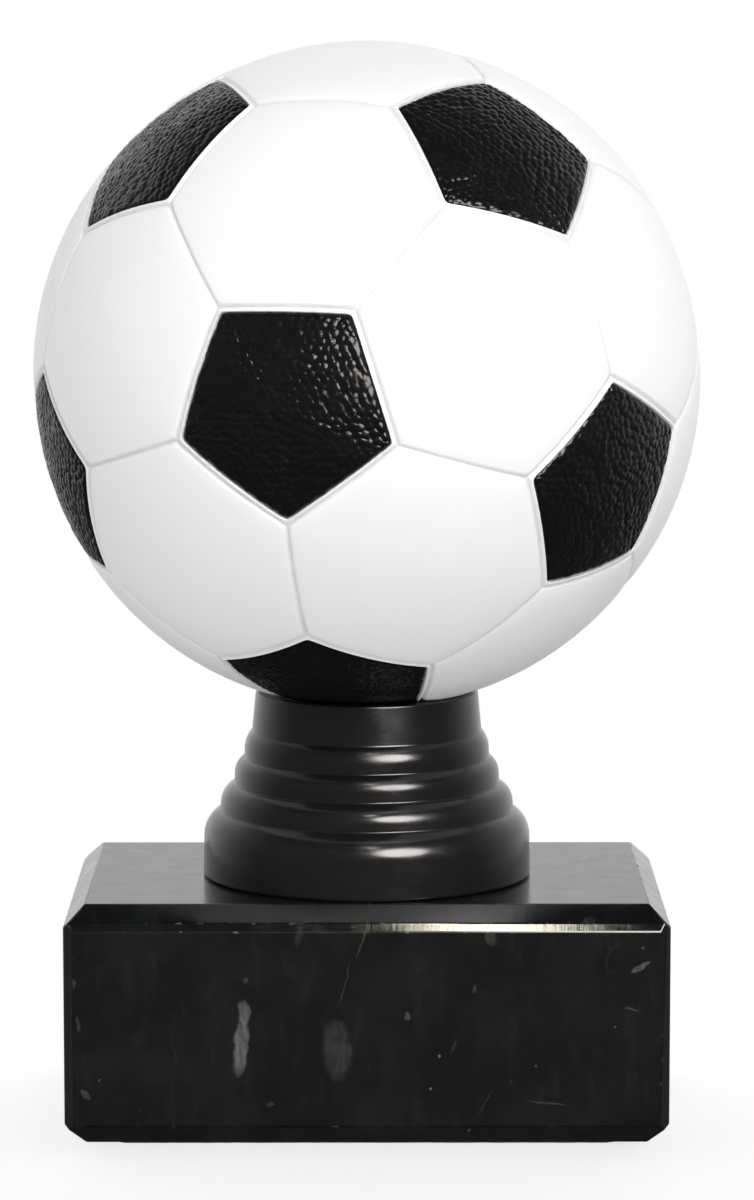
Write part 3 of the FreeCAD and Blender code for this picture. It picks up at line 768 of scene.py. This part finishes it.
def add_node(tree, kind, inputs=(), **settings):
    """A node with its inputs set or linked: inputs is a dict of socket name or number to value or socket."""
    made = tree.nodes.new("ShaderNode" + kind)
    for name, setting in settings.items():
        setattr(made, name, setting)
    for name, given in dict(inputs).items():
        if isinstance(given, bpy.types.NodeSocket):
            tree.links.new(given, made.inputs[name])
        else:
            made.inputs[name].default_value = given
    return made


class Shader:
    """A material's node tree with one Principled shader. Numbers that are constant are set on its sockets."""

    def __init__(self, name, **constants):
        self.material = bpy.data.materials.new(name)
        self.material.use_nodes = True
        self.tree = self.material.node_tree
        self.surface = self.tree.nodes["Principled BSDF"]
        for socket, number in constants.items():
            self.surface.inputs[socket.replace("_", " ")].default_value = number
        self.place = self.node("TexCoord").outputs["Object"]

    def node(self, kind, inputs=(), **settings):
        return add_node(self.tree, kind, inputs, **settings)

    def noise(self, size, detail=3.0, roughness=0.5, place=None, distortion=0.0):
        """Noise with features of about that size."""
        inputs = {"Vector": place or self.place, "Scale": 1 / size, "Detail": detail, "Roughness": roughness,
                  "Distortion": distortion}
        return self.node("TexNoise", inputs).outputs["Fac"]

    def math(self, operation, a, b=0.0, clamp=False):
        return self.node("Math", {0: a, 1: b}, operation=operation, use_clamp=clamp).outputs[0]

    def spread(self, number, low, high, to_low=0.0, to_high=1.0):
        """Maps low..high to to_low..to_high, smoothly and no further."""
        inputs = {"Value": number, "From Min": low, "From Max": high, "To Min": to_low, "To Max": to_high}
        return self.node("MapRange", inputs, interpolation_type="SMOOTHSTEP").outputs["Result"]

    def mix(self, share, a, b):
        """A colour between two colours."""
        made = self.node("Mix", data_type="RGBA")
        for number, given in ((0, share), (6, a), (7, b)):
            if isinstance(given, bpy.types.NodeSocket):
                self.tree.links.new(given, made.inputs[number])
            else:
                made.inputs[number].default_value = given
        return made.outputs[2]

    def mask(self, name):
        """A number that the mesh carries."""
        return self.node("Attribute", attribute_name=name).outputs["Fac"]

    def worn(self, low, high):
        """1 on the sharpest outer edges, 0 elsewhere."""
        return self.spread(self.node("NewGeometry").outputs["Pointiness"], low, high)

    def finish(self, colour, roughness, height=None, strength=0.3, depth=0.1 * MM):
        self.tree.links.new(colour, self.surface.inputs["Base Color"])
        self.tree.links.new(roughness, self.surface.inputs["Roughness"])
        if height is not None:
            bump = self.node("Bump", {"Height": height, "Strength": strength, "Distance": depth})
            self.tree.links.new(bump.outputs["Normal"], self.surface.inputs["Normal"])
        return self.material


def grey(level, tint=(1, 1, 1)):
    return tuple(level * part for part in tint) + (1,)


def white_plastic():
    """Moulded white, satin gloss, a little scuffed, with painted shade in the seams: grey down in their
    grooves.
    """
    shader = Shader("white_plastic", IOR=1.49, Specular_IOR_Level=0.5)
    cloud = shader.noise(14 * MM, 4)
    base = shader.mix(cloud, grey(0.84, (0.992, 0.996, 1)), grey(0.87, (1, 1, 0.998)))
    # painted shade: the seams' grooves greyed in the colour, patchy along them
    shade_patches = shader.spread(shader.noise(3 * MM, 5), 0.2, 0.8, 0.2, 0.4)
    seam_shade = shader.math("MULTIPLY", shader.mask("seam"), shade_patches)
    base = shader.mix(seam_shade, base, grey(0.4, (0.985, 0.99, 1)))
    scuff = shader.spread(shader.noise(1.6 * MM, 6, 0.7), 0.35, 0.75, 0.3, 0.42)
    fine = shader.noise(0.9 * MM, 2)
    return shader.finish(base, scuff, fine, 0.1, 0.03 * MM)


def black_grained():
    """Black with a fine leather grain over the moulded pebbles, and a polish that varies in patches."""
    shader = Shader("black_grained", IOR=1.49, Specular_IOR_Level=0.25)
    shader.surface.inputs["Specular Tint"].default_value = (1, 0.96, 0.92, 1)
    cloud = shader.noise(5 * MM, 4)
    base = shader.mix(cloud, grey(0.0044, (1, 0.95, 0.97)), grey(0.0068, (1, 0.96, 0.97)))
    worn = shader.worn(0.54, 0.62)
    base = shader.mix(shader.math("MULTIPLY", worn, 0.3), base, grey(0.02, (1, 0.97, 0.95)))
    cells = shader.node("TexVoronoi", {"Vector": shader.place, "Scale": 1 / (0.36 * MM)})
    fine = shader.noise(0.14 * MM, 3, 0.6)
    height = shader.math("ADD", cells.outputs["Distance"], shader.math("MULTIPLY", fine, 0.5))
    polish = shader.spread(shader.noise(1.3 * MM, 4), 0.3, 0.7, 0.17, 0.27)
    return shader.finish(base, polish, height, 0.1, 0.04 * MM)


def pedestal_plastic():
    """Moulded black, smooth gloss with faint flow marks and fine handling scratches."""
    shader = Shader("pedestal_plastic", IOR=1.5, Specular_IOR_Level=0.5)
    shader.surface.inputs["Specular Tint"].default_value = (1, 0.97, 0.95, 1)
    cloud = shader.noise(9 * MM, 3)
    base = shader.mix(cloud, grey(0.006, (0.93, 0.97, 1.12)), grey(0.009, (0.95, 0.98, 1.08)))
    worn = shader.worn(0.51, 0.56)
    base = shader.mix(shader.math("MULTIPLY", worn, 0.25), base, grey(0.02))
    stretched = shader.node("Mapping", {"Vector": shader.place, "Scale": (1, 1, 9)}).outputs[0]
    scratches = shader.spread(shader.noise(2.2 * MM, 6, 0.75, stretched), 0.45, 0.8)
    smudge = shader.spread(shader.noise(6 * MM, 5, 0.6), 0.3, 0.75, 0.15, 0.27)
    rough = shader.math("ADD", smudge, shader.math("MULTIPLY", scratches, 0.08))
    return shader.finish(base, rough, shader.noise(1.5 * MM, 3), 0.08, 0.03 * MM)


# Inclusions in the stone: middle and half sizes in millimetres, lean to the left in degrees, and paleness
FLAKES = [
    ((-14.8, -22.3, 12.9), (1.0, 1.5, 3.7), -5, 0.62),
    ((-14.4, -22.3, 17.0), (0.7, 1.2, 1.7), 6, 0.5),
    ((-14.2, -22.3, 20.9), (0.55, 0.9, 0.4), 30, 0.14),
    ((-3.5, -22.3, 12.6), (1.9, 1.6, 4.1), 3, 0.14),
    ((-0.4, -22.3, 26.0), (0.12, 2.4, 3.1), -20, 0.2),
    ((-2.6, -22.3, 20.3), (0.1, 1.4, 3.2), -14, 0.14),
    ((-34.0, -22.3, 15.6), (0.3, 1, 1.1), 0, 0.16),
    ((-34.4, -22.3, 20.6), (0.3, 1, 0.6), 10, 0.14),
    ((-33.2, -22.3, 7.2), (0.4, 1, 0.9), 50, 0.22),
    ((-11.4, -22.3, 5.9), (0.6, 1, 0.35), 20, 0.14),
    ((4.7, -22.3, 16.6), (0.35, 1, 0.6), 10, 0.26),
    ((12.6, -22.3, 19.8), (0.3, 1, 0.5), -15, 0.15),
    ((10.2, -22.3, 12.9), (0.25, 1, 0.9), -25, 0.12),
    ((32.2, -22.3, 22.5), (0.35, 1.2, 1.4), -62, 0.45),
    ((32.3, -22.3, 24.8), (0.16, 1, 0.16), 0, 0.6),
    ((31.0, -22.3, 17.4), (0.14, 1, 0.9), 86, 0.25),
    ((21.3, -22.3, 6.1), (0.13, 1, 2.6), 84, 0.22),
    ((14.0, -22.3, 6.2), (0.1, 1, 2.4), -32, 0.1),
    ((12.2, -22.3, 2.6), (0.15, 1, 0.5), -10, 0.3),
    ((14.5, -21.5, 26.3), (0.9, 2.2, 1.6), 15, 0.2),
    ((25.8, -21.5, 27.2), (1.3, 2, 0.9), 30, 0.1),
    ((-8.0, -21.5, 26.0), (1.6, 1.6, 0.8), 70, 0.1),
    ((-9.5, 22.3, 17.0), (1.1, 1.5, 4.2), -18, 0.7),
    ((19.0, 22.3, 11.0), (0.9, 1.5, 2.6), 35, 0.35),
    ((4.0, 22.3, 21.0), (0.16, 1.5, 5.0), 40, 0.3),
    ((35.5, -4.0, 14.0), (1.5, 1.0, 3.6), 0, 0.6),
    ((35.5, 12.0, 20.0), (1.2, 0.6, 1.6), 0, 0.35),
    ((-35.5, 6.0, 11.0), (1.5, 1.3, 3.0), 0, 0.5),
    ((-29.0, 14.0, 29.3), (1.6, 0.8, 1.0), 0, 0.4),
    ((27.0, 9.0, 29.3), (0.6, 1.8, 1.0), 0, 0.35),
]


def flake(shader, middle, half, lean, ragged):
    """1 inside a leaf-shaped inclusion, 0 outside its ragged edge."""
    moved = shader.node("VectorMath", {0: ragged, 1: [-MM * part for part in middle]}, operation="ADD")
    turn = {"Vector": moved.outputs[0], "Angle": math.radians(lean)}
    turned = shader.node("VectorRotate", turn, rotation_type="Y_AXIS")
    scale = [1 / (MM * part) for part in half]
    shaped = shader.node("VectorMath", {0: turned.outputs[0], 1: scale}, operation="MULTIPLY").outputs[0]
    length = shader.node("VectorMath", {0: shaped}, operation="LENGTH").outputs["Value"]
    return shader.spread(length, 0.62, 1.08, 1, 0)


def veins(shader, size, width, warp):
    """Thin lines along the folds of a noise, broken here and there."""
    value = shader.noise(size, 4, 0.55, distortion=warp)
    fold = shader.math("ABSOLUTE", shader.math("SUBTRACT", value, 0.5))
    line = shader.spread(fold, 0, width, 1, 0)
    return shader.math("MULTIPLY", line, shader.spread(shader.noise(size * 0.6, 3), 0.54, 0.7))


def marble():
    """Polished black stone, faintly green, with clouds, hair-thin veins, specks and pale leafy flakes."""
    shader = Shader("marble", IOR=1.52, Specular_IOR_Level=0.5)
    shader.surface.inputs["Specular Tint"].default_value = (0.99, 1, 0.96, 1)
    cloud = shader.spread(shader.noise(7 * MM, 7, 0.6), 0.38, 0.75)
    colour = shader.mix(cloud, grey(0.0045, (0.93, 0.98, 1.08)), grey(0.009, (0.93, 1.02, 1.0)))
    upright = shader.node("Mapping", {"Vector": shader.place, "Scale": (1, 1, 0.3)}).outputs[0]
    mist = shader.spread(shader.noise(1.7 * MM, 8, 0.72, upright), 0.5, 0.8)
    colour = shader.mix(shader.math("MULTIPLY", mist, 0.22), colour, grey(0.045, (0.98, 1, 1)))
    lines = veins(shader, 26 * MM, 0.003, 0.3)
    colour = shader.mix(shader.math("MULTIPLY", lines, 0.06), colour, grey(0.12, (0.98, 1, 1)))
    cells = shader.node("TexVoronoi", {"Vector": shader.place, "Scale": 1 / (3.1 * MM), "Randomness": 1.0})
    specks = shader.spread(cells.outputs["Distance"], 0.03, 0.08, 1, 0)
    specks = shader.math("MULTIPLY", specks, shader.spread(shader.noise(4 * MM, 2), 0.5, 0.62))
    colour = shader.mix(shader.math("MULTIPLY", specks, 0.5), colour, grey(0.2, (0.98, 1, 1)))
    drift = shader.node("TexNoise", {"Vector": shader.place, "Scale": 1 / (1.6 * MM), "Detail": 5.0})
    centred = shader.node("VectorMath", {0: drift.outputs["Color"], 1: (0.5, 0.5, 0.5)}, operation="SUBTRACT")
    small = shader.node("VectorMath", {0: centred.outputs[0], 1: (1.0 * MM,) * 3}, operation="MULTIPLY")
    ragged = shader.node("VectorMath", {0: shader.place, 1: small.outputs[0]}, operation="ADD").outputs[0]
    texture = shader.spread(shader.noise(0.5 * MM, 6, 0.7, upright), 0.3, 0.72, 0.3, 1)
    for middle, half, lean, pale in FLAKES:
        share = shader.math("MULTIPLY", flake(shader, middle, half, lean, ragged), texture)
        colour = shader.mix(shader.math("MULTIPLY", share, pale), colour, grey(0.22, (1.01, 1, 0.95)))
    arris = shader.mask("arris")
    chips = shader.math("MULTIPLY", arris, shader.spread(shader.noise(1.5 * MM, 4), 0.6, 0.7))
    colour = shader.mix(shader.math("MULTIPLY", chips, 0.3), colour, grey(0.15))
    polish = shader.spread(shader.noise(3 * MM, 6, 0.65), 0.3, 0.8, 0.16, 0.24)
    rough = shader.math("ADD", polish, shader.math("MULTIPLY", chips, 0.3))
    facet = shader.mask("facet")
    rough = shader.math("SUBTRACT", rough, shader.math("MULTIPLY", facet, 0.13))
    streaks = shader.node("Mapping", {"Vector": shader.place, "Scale": (1, 0.15, 0.15)}).outputs[0]
    scratches = shader.noise(0.5 * MM, 5, 0.7, streaks)
    ground = shader.math("MULTIPLY", scratches, shader.math("MULTIPLY", facet, 2.5))
    height = shader.math("ADD", shader.noise(2.5 * MM, 4), ground)
    return shader.finish(colour, rough, height, 0.03, 0.05 * MM)


def felt():
    shader = Shader("felt", Specular_IOR_Level=0.2, Sheen_Weight=0.12, Sheen_Roughness=0.5)
    matted = shader.noise(2 * MM, 6, 0.7)
    colour = shader.mix(matted, grey(0.012), grey(0.035, (0.95, 1, 0.98)))
    one_way = shader.node("Mapping", {"Vector": shader.place, "Scale": (1, 0.15, 1)}).outputs[0]
    other_way = shader.node("Mapping", {"Vector": shader.place, "Scale": (0.15, 1, 1)}).outputs[0]
    fibres = [shader.noise(0.22 * MM, 4, 0.6, way, 1.5) for way in (one_way, other_way)]
    height = shader.math("ADD", shader.math("MAXIMUM", *fibres), shader.noise(0.3 * MM, 5))
    rough = shader.spread(matted, 0.2, 0.8, 0.85, 1)
    return shader.finish(colour, rough, height, 0.8, 0.15 * MM)


def zinc_steel():
    """Bright zinc plating: brushed a little, with dull blooms."""
    shader = Shader("zinc_steel", Metallic=1.0)
    bloom = shader.noise(1.6 * MM, 5, 0.6)
    colour = shader.mix(bloom, grey(0.5, (0.98, 1, 1.03)), grey(0.7, (1, 1, 0.98)))
    stretched = shader.node("Mapping", {"Vector": shader.place, "Scale": (1, 1, 12)}).outputs[0]
    brushed = shader.noise(0.9 * MM, 5, 0.7, stretched)
    rough = shader.spread(bloom, 0.25, 0.75, 0.22, 0.42)
    return shader.finish(colour, rough, brushed, 0.2, 0.05 * MM)


def studio_floor():
    """White acrylic, faintly lit from within."""
    shader = Shader("studio_floor", Specular_IOR_Level=0.2, Emission_Strength=0.78)
    shader.surface.inputs["Emission Color"].default_value = grey(1)
    fibre = shader.noise(1.2 * MM, 5)
    colour = shader.mix(fibre, grey(0.88), grey(0.9))
    return shader.finish(colour, shader.spread(fibre, 0, 1, 0.8, 0.95))


# ---------------------------------------------------------------- stage

FLOOR_SIZE = 12.0
FLOOR_LEVEL = -0.02 * MM


def make_floor(material):
    """A plain white floor, a hair under the felt. Glossy surfaces reflect the studio and not the floor."""
    half = FLOOR_SIZE / 2
    mesh = bpy.data.meshes.new("studio_floor")
    corners = [(x * half, y * half, FLOOR_LEVEL) for x, y in ((-1, -1), (1, -1), (1, 1), (-1, 1))]
    mesh.from_pydata(corners, [], [(0, 1, 2, 3)])
    mesh.materials.append(material)
    floor = bpy.data.objects.new("studio_floor", mesh)
    bpy.context.scene.collection.objects.link(floor)
    floor.visible_glossy = False
    return floor


def make_light(name, azimuth, elevation, distance, size, radiance):
    """A round soft box aimed at the trophy. Azimuth 0 is in front, positive to the right."""
    data = bpy.data.lights.new(name, "AREA")
    data.shape = "ELLIPSE"
    data.size, data.size_y = size
    data.energy = radiance * math.pi**2 * size[0] * size[1] / 4
    light = bpy.data.objects.new(name, data)
    turn, lift = math.radians(azimuth), math.radians(elevation)
    away = Vector((math.sin(turn) * math.cos(lift), -math.cos(turn) * math.cos(lift), math.sin(lift)))
    light.location = Vector((0, 0, 0.07)) + away * distance
    light.rotation_mode = "QUATERNION"
    light.rotation_quaternion = away.to_track_quat("Z", "Y")
    bpy.context.scene.collection.objects.link(light)
    return light


def light_all_but(light, thing):
    """Keeps one light off one thing."""
    kept_dark = bpy.data.collections.new(f"not_lit_by_{light.name}")
    kept_dark.objects.link(thing)
    light.light_linking.receiver_collection = kept_dark
    kept_dark.collection_objects[0].light_linking.link_state = "EXCLUDE"


def make_lights(floor):
    """Two lamps light the surfaces. A third one lower down is what their gloss reflects, and a small fourth
    one is what the block's front facet reflects."""
    key = make_light("key", 20, 45, 0.8, (0.56, 0.56), 8.5)
    fill = make_light("fill", -65, 8, 1.2, (1.1, 1.1), 0.95)
    for light in (key, fill):
        light.visible_glossy = False
        light_all_but(light, floor)
    shine = make_light("shine", 25, 22, 0.62, (0.4, 0.34), 19)
    glint = make_light("glint", 4.2, 44.1, 0.584, (0.03, 0.08), 38)
    glint.data.color = (1, 0.96, 0.78)
    for light in (shine, glint):
        light.visible_diffuse = False


def make_world():
    """A studio that is white behind the trophy, and dark in front, above and below. The camera sees white."""
    world = bpy.data.worlds.new("studio")
    world.use_nodes = True
    tree = world.node_tree
    node = functools.partial(add_node, tree)

    direction = node("SeparateXYZ", {0: node("TexCoord", {}).outputs["Generated"]})
    ramp = {"From Min": -0.25, "From Max": 0.95, "To Min": 0.16, "To Max": 1.0}
    behind = node("MapRange", {"Value": direction.outputs["Y"], **ramp}, interpolation_type="SMOOTHSTEP")
    ramp = {"From Min": -0.5, "From Max": 0.0, "To Min": 0.1, "To Max": 1.0}
    above = node("MapRange", {"Value": direction.outputs["Z"], **ramp}, interpolation_type="SMOOTHSTEP")
    ramp = {"From Min": 0.4, "From Max": 0.9, "To Min": 1.0, "To Max": 0.1}
    overhead = node("MapRange", {"Value": direction.outputs["Z"], **ramp}, interpolation_type="SMOOTHSTEP")
    vertical = node("Math", {0: above.outputs[0], 1: overhead.outputs[0]}, operation="MULTIPLY")
    glow = node("Math", {0: behind.outputs[0], 1: vertical.outputs[0]}, operation="MULTIPLY")
    seen = node("LightPath", {}).outputs["Is Camera Ray"]
    strength = node("Math", {0: glow.outputs[0], 1: seen}, operation="MAXIMUM")
    tree.nodes["Background"].inputs["Color"].default_value = (1, 1, 1, 1)
    tree.links.new(strength.outputs[0], tree.nodes["Background"].inputs["Strength"])
    bpy.context.scene.world = world


def make_camera():
    """Looks a little down on the ball from the front, through a long lens."""
    data = bpy.data.cameras.new("camera")
    data.lens, data.sensor_width = LENS, 36
    data.clip_start, data.clip_end = 0.01, 30
    camera = bpy.data.objects.new("camera", data)
    lift = math.radians(CAMERA_ELEVATION)
    away = Vector((0, -math.cos(lift), math.sin(lift)))
    camera.location = BALL_CENTRE + away * CAMERA_DISTANCE
    pitch = math.radians(90 - CAMERA_ELEVATION - AIM_BELOW)
    camera.rotation_euler = (pitch, 0, -math.radians(AIM_RIGHT))
    bpy.context.scene.collection.objects.link(camera)
    bpy.context.scene.camera = camera


def dress_cad_nodes(steel, plastic):
    """Materials for the CAD pieces whose shape is right as it is."""
    finishes = {"flat_washer": steel, "lock_washer": steel, "base_nut": steel, "ball_nut": steel,
                "nut_cap": plastic}
    for name, material in finishes.items():
        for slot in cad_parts[name].material_slots:
            slot.material = material


def main():
    make_camera()
    make_world()
    make_lights(make_floor(studio_floor()))
    white, steel = white_plastic(), zinc_steel()
    pentagons, hexagons = ball_panels()
    make_shells(pentagons, hexagons, white)
    make_black_panels(pentagons, black_grained())
    make_pedestal(pedestal_plastic())
    make_block(marble())
    make_felt(felt())
    make_rod(steel)
    dress_cad_nodes(steel, white)
    bpy.context.scene.view_settings.view_transform = "Standard"


main()
